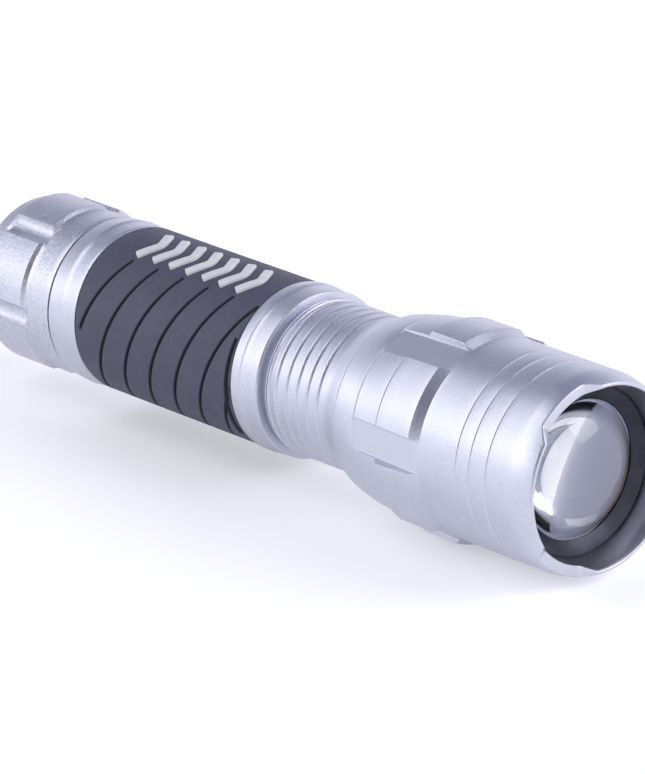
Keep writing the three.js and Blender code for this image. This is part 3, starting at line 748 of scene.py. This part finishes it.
def lens_retaining_ring():
    """A dark threaded ring with a chamfered mouth."""
    rear = LENS_REAR + LENS_RIM + SEAT
    front = rear + 1.4
    outer = LENS_SEAT_R - 0.03
    outline = [(rear, DOME_R + FIT), (rear, outer), (front, outer), (front, outer - 0.35),
               (front - 1.0, DOME_R + 0.35, 0.3), (front - 1.15, DOME_R + FIT)]
    skin = turned(outline, fillet=0.06)
    return piece("lens_retaining_ring_fine", skin, DARK_ANODISED, "head",
                 ["lens_retaining_ring"])


def ring_cord(x, ring_r, section_r, flatten=1.0, sides=20):
    """The outline of a round cord in a ring about the axis."""
    turn = np.radians(even_angles(sides))
    return [(x + section_r * math.cos(a), ring_r + section_r * flatten * math.sin(a)) for a in turn]


def lens_gasket():
    cord_r = 0.5
    cord = ring_cord(LENS_REAR - SEAT - cord_r, LENS_SEAT_R - FIT - cord_r, cord_r)
    skin = turned(cord, INNER_SEGMENTS)
    return piece("lens_gasket_fine", skin, BLACK_RUBBER, "head", ["lens_gasket"])


# ---- Barrel ----------------------------------------------------------------------------------------

def barrel_outline():
    """The barrel's outline from the end of its tail thread forwards, and back through the bore."""
    ring_rear = SEAM + 0.35
    return [
        (THREAD_END, TUBE_BORE), (THREAD_END, THREAD_R - 0.6), (THREAD_END + 0.5, THREAD_R - 0.1),
        (ring_rear - 0.6, THREAD_R - 0.1), (ring_rear, THREAD_R - 0.1), (ring_rear, RING_R - 0.25, 0.05),
        (ring_rear + 0.25, RING_R - 0.12, 0.2), *step_down(RING_STEP, RING_R + 0.1, 0.22),
        (GRIP_REAR - 0.45, RING_R - 0.12, 0.1), (GRIP_REAR, RING_R - 0.26, 0.05),
        (GRIP_REAR, GRIP_SEAT_R), (GRIP_FRONT, GRIP_SEAT_R), (GRIP_FRONT, COLLAR_R - 0.15),
        (GRIP_FRONT + 0.15, COLLAR_R, 0.1), *step_down(COLLAR_STEP, COLLAR_R + 0.03, 0.26),
        (COLLAR_FRONT - 1.1, COLLAR_R - 0.22, 0.1), (COLLAR_FRONT - 0.85, COLLAR_R - 0.42, 0.06),
        (COLLAR_FRONT - 0.78, NECK_R + 0.3, 0.1), (COLLAR_FRONT - 0.05, NECK_R + 0.3, 0.1),
        (COLLAR_FRONT + 0.05, RIB_R - 0.2, 0.05), (COLLAR_FRONT + 0.4, RIB_R - 0.12, 0.08),
        (COLLAR_FRONT + 0.45, NECK_R),
        (NECK_GROOVE[0], NECK_R), (NECK_GROOVE[0], NECK_GROOVE_R),
        (NECK_GROOVE[1], NECK_GROOVE_R), (NECK_GROOVE[1], NECK_R),
        (NECK_FRONT, NECK_R), (NECK_FRONT, PILL_BORE), (PILL_SEAT, PILL_BORE), (PILL_SEAT, TUBE_BORE),
    ]


def thread_rows(angles):
    """Rings of the male thread, which dies away at both ends."""
    rows = []
    start, end = THREAD_END + 0.6, SEAM - 0.3
    for x in np.arange(start, end, 0.08):
        turn = (x / THREAD_PITCH - angles / 360) % 1
        height = np.clip(1.6 * (1 - np.abs(2 * turn - 1)), 0.15, 1.0) - 0.15
        fade = np.clip(min(x - start, end - x) / 0.5, 0, 1)
        rows.append(around(x, THREAD_R - 0.1 - THREAD_DEPTH * (0.85 - height) * fade, angles))
    return rows


def barrel():
    angles = even_angles(OUTER_SEGMENTS)
    rows = []
    threaded = False
    for x, r in rounded(barrel_outline()):
        if not threaded and x > THREAD_END + 0.6 and r > THREAD_R - 0.3:
            rows += thread_rows(angles)
            threaded = True
        rows.append(around(x, r, angles))
    return piece("barrel_tube_fine", loft(rows), ALUMINIUM, "barrel", ["barrel_tube"])


# ---- Grip ------------------------------------------------------------------------------------------

def capsule_distance(x, arc, start, end):
    """Distance on the unrolled grip from points to a straight line between two places."""
    start, end = np.array(start), np.array(end)
    along = end - start
    share = np.clip(((x - start[0]) * along[0] + (arc - start[1]) * along[1]) / (along @ along), 0, 1)
    return np.hypot(x - start[0] - share * along[0], arc - start[1] - share * along[1])


def grip_lines():
    """Start and end of each groove on the unrolled grip, as (x, arc length) places."""
    def arc(degrees):
        return math.radians(degrees) * GRIP_R

    lines = []
    rear, front = GRIP_REAR + 1.7, GRIP_FRONT - 0.7
    panel_end = PANEL[1] - 360
    for i in range(10):
        crossing = FIRST_GROOVE + GROOVE_PITCH * i
        start = min(PANEL[0], -90 + (front - crossing) / GROOVE_LEAD)
        end = max(panel_end, -90 + (rear - crossing) / GROOVE_LEAD)
        if start > end:
            lines.append(((crossing + (start + 90) * GROOVE_LEAD, arc(start)),
                          (crossing + (end + 90) * GROOVE_LEAD, arc(end))))
    lines.append(tuple((float(edge_line(end)), arc(end)) for end in EDGE_GROOVE))
    return lines


def grip_depth(x, degrees):
    """How deep the pattern is at each place, from 0 to 1."""
    wrapped = (degrees - PANEL[1]) % 360 + PANEL[1] - 360
    arc = np.radians(wrapped) * GRIP_R
    nearest = np.full(np.broadcast(x, degrees).shape, 1e3)
    for start, end in grip_lines():
        nearest = np.minimum(nearest, capsule_distance(x, arc, start, end))
    wall = 0.11
    share = np.clip((GROOVE_WIDTH / 2 + wall - nearest) / (2 * wall), 0, 1)
    return share * share * (3 - 2 * share)


def edge_line(degrees):
    """The line that the groove along the grip's front edge follows, and the mesh with it."""
    ends = (-360 + EDGE_GROOVE[0], EDGE_GROOVE[1], EDGE_GROOVE[0])
    stations = (GRIP_FRONT - 1.0, GRIP_FRONT - 2.2, GRIP_FRONT - 1.0)
    return np.interp((degrees - EDGE_GROOVE[0]) % 360 - 360 + EDGE_GROOVE[0], ends, stations)


def grip():
    """A sleeve whose mesh lines follow the grooves round, cut off where they meet its ends."""
    lower, upper = GRIP_REAR + SEAT + 0.4, GRIP_FRONT - SEAT - 0.4
    beside = (0, 0.1, 0.19, 0.24, 0.29, 0.34, 0.4, 0.5, 0.8)
    lean = math.cos(math.atan(GROOVE_LEAD / math.radians(GRIP_R)))
    offsets = sorted({side * d / lean for d in beside for side in (-1, 1)} | {-2.2, -1.5, 1.5, 2.2, 3.0})
    first = FIRST_GROOVE + 90 * GROOVE_LEAD
    lines = np.array([first + GROOVE_PITCH * k + offset for k in range(-8, 7) for offset in offsets])
    near_ends = [end + side * step for end in (PANEL[0], EDGE_GROOVE[0], EDGE_GROOVE[1] + 360)
                 for step in (0.3, 0.6, 1.0) for side in (-1, 1)]
    angles = np.round([*np.arange(PANEL[0], PANEL[0] + 360, 1.5), *near_ends], 3)
    angles = np.unique((angles - PANEL[0]) % 360 + PANEL[0])
    strip = np.array([-0.4, -0.34, -0.29, -0.24, -0.19, -0.1, 0, 0.1, 0.19, 0.24, 0.29])
    columns = []
    for degrees in angles:
        top = edge_line(degrees) + strip[0]
        x = np.clip(lines + degrees * GROOVE_LEAD, lower, top)
        columns.append(around(x, GRIP_R - GROOVE_DEPTH * grip_depth(x, degrees), degrees))
    count = len(lines)
    one_turn = 6 * len(offsets)
    faces = []
    for j in range(len(angles)):
        last = j == len(angles) - 1
        after, shift = (0, one_turn) if last else (j + 1, 0)
        for i in range(count - 1 - shift):
            near, far = j * count + i, after * count + i + shift
            faces.append([near, near + 1, far + 1, far])
    outside = np.vstack(columns), faces
    inner = GRIP_SEAT_R + FIT
    edge = [(0.15, 0.03), (0.3, 0.12), (0.4, 0.3)]
    back = [(lower, GRIP_R), *((lower - out, GRIP_R - down) for out, down in edge), (lower - 0.4, inner),
            (upper + 0.4, inner), *((upper + out, GRIP_R - down) for out, down in edge[::-1])]
    rows = [around(x, r, angles) for x, r in back]
    for offset in (0.33, *strip[::-1]):
        x = edge_line(angles) + offset if offset < 0.3 else np.full(len(angles), upper)
        rows.append(around(x, GRIP_R - GROOVE_DEPTH * grip_depth(x, angles), angles))
    inside = loft(rows, closed=False)
    made = piece("rubber_grip_fine", joined(outside, inside), GRIP_RUBBER, "barrel",
                 ["rubber_grip"])
    places = np.array([vertex.co for vertex in made.data.vertices]) / MM
    degrees = np.degrees(np.arctan2(places[:, 1], places[:, 2] - AXIS_Z))
    # The groove depth is stored for the material, which paints shade into the grooves by it.
    groove_shade = grip_depth(places[:, 0], degrees)
    made.data.attributes.new("groove", "FLOAT", "POINT").data.foreach_set("value", groove_shade.astype(np.float32))
    return made


def raised_stroke(path, half_width, height, edge=0.25):
    """The skin of a raised bar on the grip along a path of (x, arc length) places, with rounded edges."""
    path = np.array(path, float)
    tangents = np.gradient(path, axis=0)
    tangents /= np.linalg.norm(tangents, axis=1)[:, None]
    rows = []

    def ring(place, tangent, width, top):
        across = np.array([-tangent[1], tangent[0]])
        turn = np.linspace(0, math.pi / 2, 4)
        side = [(-width, -0.3)] + [(-width + edge - edge * math.cos(a), top - edge + edge * math.sin(a))
                                   for a in turn]
        section = np.array(side + [(-offset, h) for offset, h in side[::-1]])
        x = place[0] + across[0] * section[:, 0]
        arc = place[1] + across[1] * section[:, 0]
        return around(x, GRIP_R + section[:, 1], np.degrees(arc / GRIP_R))

    ends = [(edge * math.sin(a), edge * (1 - math.cos(a))) for a in np.linspace(math.pi / 2, math.pi / 8, 4)]
    rows += [ring(path[0] - tangents[0] * out, tangents[0], half_width - cut, height - cut)
             for out, cut in ends]
    rows += [ring(place, tangent, half_width, height) for place, tangent in zip(path, tangents)]
    rows += [ring(path[-1] + tangents[-1] * out, tangents[-1], half_width - cut, height - cut)
             for out, cut in ends[::-1]]
    vertices, faces = loft(rows, closed=False)
    size = len(rows[0])
    return vertices, [*faces, list(range(size)), list(range(len(vertices) - size, len(vertices)))]


def grip_mark():
    """A plain row of raised chevrons on the grip's smooth panel."""
    reach, half_span, bend = 1.9, 3.5, 0.6
    half_width, height = 0.8, 0.55
    t = np.linspace(-1, 1, 25)
    nose = (np.sqrt(t * t + bend ** 2 / 9) - bend / 3) / (math.sqrt(1 + bend ** 2 / 9) - bend / 3)
    middle = math.radians(MARK_MIDDLE) * GRIP_R
    skins = []
    for x in np.linspace(*MARK_STATIONS, CHEVRONS):
        path = np.stack([x + reach * (0.5 - nose), middle + half_span * t], axis=1)
        skins.append(raised_stroke(path, half_width, height))
    return piece("grip_mark", joined(*skins), WHITE_RUBBER, "barrel")


# ---- Seals -----------------------------------------------------------------------------------------

def neck_o_ring():
    low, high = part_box("neck_o_ring")
    middle, section = (low.x + high.x) / 2 / MM, (high.x - low.x) / 2 / MM
    outer = (high.y - low.y) / 2 / MM
    skin = turned(ring_cord(middle, outer - section, section), INNER_SEGMENTS)
    return piece("neck_o_ring_fine", skin, BLACK_RUBBER, "neck_seal", ["neck_o_ring"])


def tail_o_ring():
    """The ring fills the seam between the cap and the barrel's rear ring."""
    rear, front = SEAM - 0.18, SEAM + 0.33
    outer, inner = CAP_R - 0.3, THREAD_R + FIT
    outline = [(rear, inner), (rear, outer, 0.2), (front, outer, 0.2), (front, inner)]
    skin = turned(outline, CORD_SEGMENTS)
    return piece("tail_o_ring_fine", skin, BLACK_RUBBER, "tail_seal", ["tail_o_ring"])


# ---- Tail cap and switch ---------------------------------------------------------------------------

def cap_floor(x):
    """The cap's channel floors are level, and rise at both ends."""
    rear, front = CAP_CHANNEL_ENDS
    rise = 1.5
    return CAP_CHANNEL_FLOOR + max(0, rear - x, x - front) * rise


def cap_outline():
    """The cap's outside from the rear rim to the seam."""
    front = SEAM - SEAT
    return [
        (TAIL_RIM + 0.3, CAP_RIM_R - 0.8), (TAIL_RIM + 0.8, CAP_RIM_R, 0.3),
        (CAP_PAD_REAR - 0.8, CAP_RIM_R + 0.2, 0.3), (CAP_PAD_REAR, CAP_PAD_R, 0.1),
        (CAP_PAD_FRONT - 0.15, CAP_PAD_R, 0.1), (CAP_PAD_FRONT + 0.45, CAP_R, 0.05),
        (CAP_PAD_FRONT + 0.9, CAP_R - 0.12, 0.4), (CAP_PAD_FRONT + 1.7, CAP_R - 0.17, 0.5),
        (front - 0.45, CAP_R - 0.17, 0.1), (front, CAP_R - 0.3, 0.04),
    ]


def tail_cap():
    """Fluted outside, with a seat inside for the switch."""
    channels = Flutes(PADS, FIRST_CAP_CHANNEL, FLUTE_R, 0, cap_floor)
    base = channels.base_angles()
    front = SEAM - SEAT
    rows = []
    outside = rounded([(TAIL_RIM, END_RECESS_R + 0.5), (TAIL_RIM, CAP_RIM_R - 0.8), *cap_outline(),
                       (front, CAP_BORE)])
    for x, r in spaced(outside, 0.8):
        angles, radii = base, r
        if CAP_PAD_REAR - 1.5 < x < CAP_PAD_FRONT + 2.2 and r > CAP_RIM_R - 0.2:
            angles, radii = channels.section(x, r, base)
        rows.append(around(x, radii, angles))
    bore_end = THREAD_END - 0.4
    inside = rounded([(front, CAP_BORE), (bore_end, CAP_BORE), (bore_end, SWITCH_BORE),
                      (SWITCH_SEAT, SWITCH_BORE), (SWITCH_SEAT, BUTTON_HOLE_R),
                      (END_WALL, BUTTON_HOLE_R, 0.3), (END_WALL, END_RECESS_R), (TAIL_RIM, END_RECESS_R),
                      (TAIL_RIM, END_RECESS_R + 1)])
    rows += [around(x, r, base) for x, r in inside[4:-4]]
    return piece("tail_cap_fine", loft(rows), BLASTED_ALUMINIUM, "tail_cap", ["tail_cap"])


def rubber_boot():
    """The button's rubber dome, from its clamped flange to its tip, in one turned skin."""
    flange_r, wall = 9.8, 0.9
    flange_front, flange_rear = HOUSING_REAR - SEAT, SWITCH_SEAT + SEAT
    dome = [(BOOT_TIP + 0.9 * (r / (BOOT_R - 0.4)) ** 2.5, r) for r in np.linspace(BOOT_R - 0.4, 0.4, 14)]
    outline = [(BOOT_TIP + wall, 0), (BOOT_TIP + wall + 0.3, 3.6), (BOOT_TIP + wall + 1, BOOT_R - wall),
               (-67.5, BOOT_R - wall), (flange_front - 0.9, BOOT_R - wall), (flange_front, BOOT_R - wall),
               (flange_front, flange_r), (flange_rear, flange_r), (flange_rear, BOOT_R),
               (-66.6, BOOT_R), (-67.4, BOOT_R), (BOOT_TIP + 1.3, BOOT_R, 0.3), *dome, (BOOT_TIP, 0)]
    skin = turned(outline, SMALL_SEGMENTS)
    made = piece("rubber_boot_fine", skin, BLACK_RUBBER, "button", ["rubber_boot"])
    made.parent = None
    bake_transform(made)
    return made


def springs():
    """The tail, driver and switch springs as round wire."""
    made = []
    for name, body, wire_r, start_r, end_r, turns in (
            ("tail_spring", "tail_cap", 0.55, 7.4, 4, 7), ("driver_spring", "barrel", 0.4, 1.6, 4, 3),
            ("switch_spring", "tail_cap", 0.2, 1.7, 1.7, 3)):
        low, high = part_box(name)
        skin = coil(low.x / MM + wire_r, high.x / MM - wire_r, start_r, end_r, turns, wire_r * 0.96)
        made.append(piece(f"{name}_fine", skin, STEEL, body, [name], sharp=60))
    low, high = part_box("switch_spring")
    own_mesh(made[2])


# ---- Lamp ------------------------------------------------------------------------------------------

def led_pill():
    rear, pocket_end, front = PILL_SEAT + 0.5, 33, 54
    pocket_r, thread_r, flange_r, post_r = 8.6, PILL_BORE - FIT, 12.9, 10
    flange = NECK_FRONT + SEAT, NECK_FRONT + SEAT + 2
    outline = [(pocket_end, 0), (pocket_end, pocket_r), (rear, pocket_r), (rear, thread_r),
               (flange[0], thread_r), (flange[0], flange_r), (flange[1], flange_r), (flange[1], post_r),
               (front, post_r), (front, 0)]
    return piece("led_pill_fine", turned(outline, INNER_SEGMENTS), BRASS, "barrel", ["led_pill"])


def led_board():
    low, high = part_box("led_board")
    rear, front, board_r = low.x / MM, high.x / MM, 8.5
    outline = [(rear, 0), (rear, board_r), (front, board_r), (front, 0)]
    skin = turned(outline, SMALL_SEGMENTS)
    return piece("led_board_fine", skin, WHITE_BOARD, "barrel", ["led_board"])


def finish_cad_nodes():
    """The pieces inside keep their CAD shapes, with small bevels and materials of their own."""
    looks = {
        "led_emitter": (PHOSPHOR, 0.05), "led_lead_positive": (RED_INSULATION, 0),
        "led_lead_negative": (BLACK_INSULATION, 0), "driver_board": (CIRCUIT_BOARD, 0.08),
        "carrier_frame": (BLACK_PLASTIC, 0.15),
        "carrier_front_contact": (STEEL, 0.06), "carrier_rear_contact": (STEEL, 0.06),
        "carrier_front_link": (STEEL, 0.05), "carrier_rear_link": (STEEL, 0.05), "cell_1": (CELL_WRAP, 0.1),
        "cell_2": (CELL_WRAP, 0.1), "cell_3": (CELL_WRAP, 0.1), "switch_retaining_ring": (BRASS, 0.1),
        "switch_board": (CIRCUIT_BOARD, 0.06), "switch_housing": (BLACK_PLASTIC, 0.15),
        "switch_plunger": (BLACK_PLASTIC, 0.08),
    }
    for name, (material, bevel) in looks.items():
        cad = nodes[name]
        cad.data.materials.clear()
        cad.data.materials.append(material)
        if bevel:
            softened = cad.modifiers.new("bevel", "BEVEL")
            softened.width = bevel * MM
            softened.segments = 2
            softened.limit_method = "ANGLE"
            softened.angle_limit = math.radians(35)


# ---- Stage -----------------------------------------------------------------------------------------

def floor():
    """A pale sheet with a faint glow, weaker in the light and reflections that reach the torch."""
    half = 3
    mesh = bpy.data.meshes.new("floor")
    corners = [(-half, -half, 0), (half, -half, 0), (half, half, 0), (-half, half, 0)]
    mesh.from_pydata(corners, [], [(0, 1, 2, 3)])
    finish = Finish("pale_floor", Emission_Color=(1, 1, 1, 1))
    direct = finish.add("ShaderNodeLightPath").outputs["Is Camera Ray"]
    glow = finish.between(direct, 0.14, 0.32, 0, 1)
    finish.tree.links.new(glow, finish.shader.inputs["Emission Strength"])
    finish.clouded(60, 3, (0.93, 0.93, 0.94), (0.95, 0.95, 0.96))
    finish.roughness(finish.between(finish.noise(9, 3), 0.55, 0.7))
    mesh.materials.append(finish.material)
    made = bpy.data.objects.new("floor", mesh)
    bpy.context.scene.collection.objects.link(made)


def soft_light(name, place, back, size, radiance):
    """A rectangular soft box at a place in metres. Its face turns away from the direction called back."""
    data = bpy.data.lights.new(name, "AREA")
    data.shape = "RECTANGLE"
    data.size, data.size_y = size
    data.energy = radiance * math.pi * size[0] * size[1]
    made = bpy.data.objects.new(name, data)
    made.location = place
    made.rotation_mode = "QUATERNION"
    made.rotation_quaternion = Vector(back).to_track_quat("Z", "Y")
    bpy.context.scene.collection.objects.link(made)


def studio_world():
    """A pale room, brightest round the horizon and dim overhead, with a dark patch above the camera."""
    world = bpy.data.worlds.new("studio")
    world.use_nodes = True
    tree = world.node_tree
    place = tree.nodes.new("ShaderNodeTexCoord")

    def nearness(direction, start, end):
        """From 0 to 1 as the view turns towards a direction, by the cosine of the angle between them."""
        measure = tree.nodes.new("ShaderNodeVectorMath")
        measure.operation = "DOT_PRODUCT"
        measure.inputs[1].default_value = direction
        ease = tree.nodes.new("ShaderNodeMapRange")
        ease.interpolation_type = "SMOOTHSTEP"
        ease.inputs["From Min"].default_value = start
        ease.inputs["From Max"].default_value = end
        tree.links.new(place.outputs["Generated"], measure.inputs[0])
        tree.links.new(measure.outputs["Value"], ease.inputs["Value"])
        return ease.outputs["Result"]

    overhead = nearness((-0.25, 0, 0.968), 0.25, 0.95)
    sky = mixed_colour(tree, overhead, (0.98, 0.98, 1.10, 1), (0.25, 0.255, 0.36, 1))
    behind = nearness((0.42, -0.74, 0.53), 0.80, 0.94)
    room = mixed_colour(tree, behind, sky, (0.09, 0.09, 0.125, 1))
    tree.links.new(room, tree.nodes["Background"].inputs["Color"])
    bpy.context.scene.world = world


def lights():
    studio_world()
    soft_light("key", (-0.38, -0.615, 0.535), (0, -0.755, 0.656), (0.68, 0.94), 1.1)
    soft_light("key_rear", (-1.0, -0.648, 0.497), (0, -0.755, 0.656), (0.56, 0.86), 0.12)
    soft_light("end", (-1.2, -0.50, 0.16), (-1, -0.36, 0.1), (0.62, 0.5), 0.75)
    soft_light("key_tip", (-0.42, -0.24, 0.80), (-0.46, -0.26, 0.86), (0.26, 0.26), 1.0)
    soft_light("front", (0.72, 0.53, 0.62), (0.66, 0.49, 0.57), (0.7, 0.5), 3.0)
    soft_light("top", (0.28, 0.47, 1.2), (0.22, 0.36, 0.9), (0.6, 0.5), 0.7)
    soft_light("lens_fill", (0.95, -0.42, 0.50), (0.82, -0.40, 0.42), (0.4, 0.4), 1.2)


def camera():
    """The photograph's view: from the front left of the head, a little above."""
    data = bpy.data.cameras.new("camera")
    data.sensor_width = 36
    data.lens = 279
    azimuth, elevation, distance = 48.39, 19.15, 0.98
    aim = Vector((3.9, 0, AXIS_Z - 1.95)) * MM
    a, e = math.radians(azimuth), math.radians(elevation)
    back = Vector((math.sin(a) * math.cos(e), -math.cos(a) * math.cos(e), math.sin(e)))
    made = bpy.data.objects.new("camera", data)
    made.location = aim + back * distance
    made.rotation_mode = "QUATERNION"
    made.rotation_quaternion = back.to_track_quat("Z", "Y")
    data.clip_start, data.clip_end = 0.05, 20
    bpy.context.scene.collection.objects.link(made)
    bpy.context.scene.camera = made


# ---- Assembly --------------------------------------------------------------------------------------

camera()
lights()
floor()
bpy.context.scene.view_settings.view_transform = "Standard"

head_shell()
lens()
lens_retaining_ring()
lens_gasket()
barrel()
grip()
grip_mark()
neck_o_ring()
tail_o_ring()
tail_cap()
rubber_boot()
springs()
led_pill()
led_board()
finish_cad_nodes()
